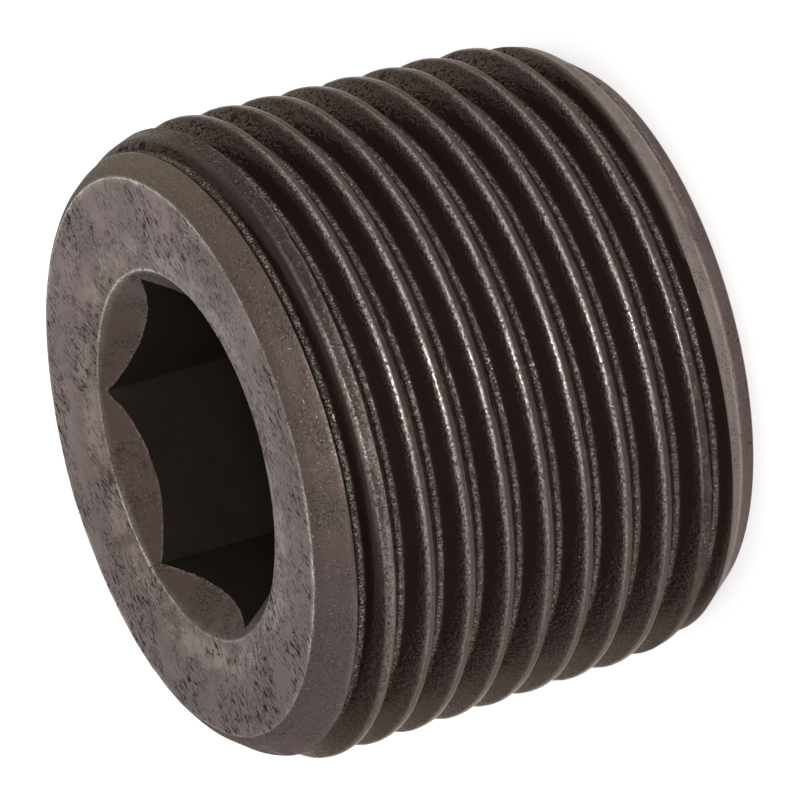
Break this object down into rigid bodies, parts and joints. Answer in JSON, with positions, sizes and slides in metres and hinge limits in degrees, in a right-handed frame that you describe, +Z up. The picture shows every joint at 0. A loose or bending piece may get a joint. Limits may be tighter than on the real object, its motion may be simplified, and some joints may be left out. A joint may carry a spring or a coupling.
{
  "type": "hex socket pipe plug",
  "caption": "Solid taper-threaded pipe plug with a countersunk blind hexagon socket in its larger end and a chamfered flat inner end.",
  "frame": {"origin": "centre of the flat inner (small) end, which the plug stands on", "axes": "+Z up the thread's axis to the socket face; two flats of the hexagon socket are square to Y and two of its corners point along X"},
  "size_m": [0.0264, 0.0264, 0.0202],
  "materials": {
    "dark_oxide_steel": "dark oxide, matte with worn bright edges"
  },
  "bodies": {
    "root": {"plug_body": "dark_oxide_steel"}
  },
  "joints": []
}
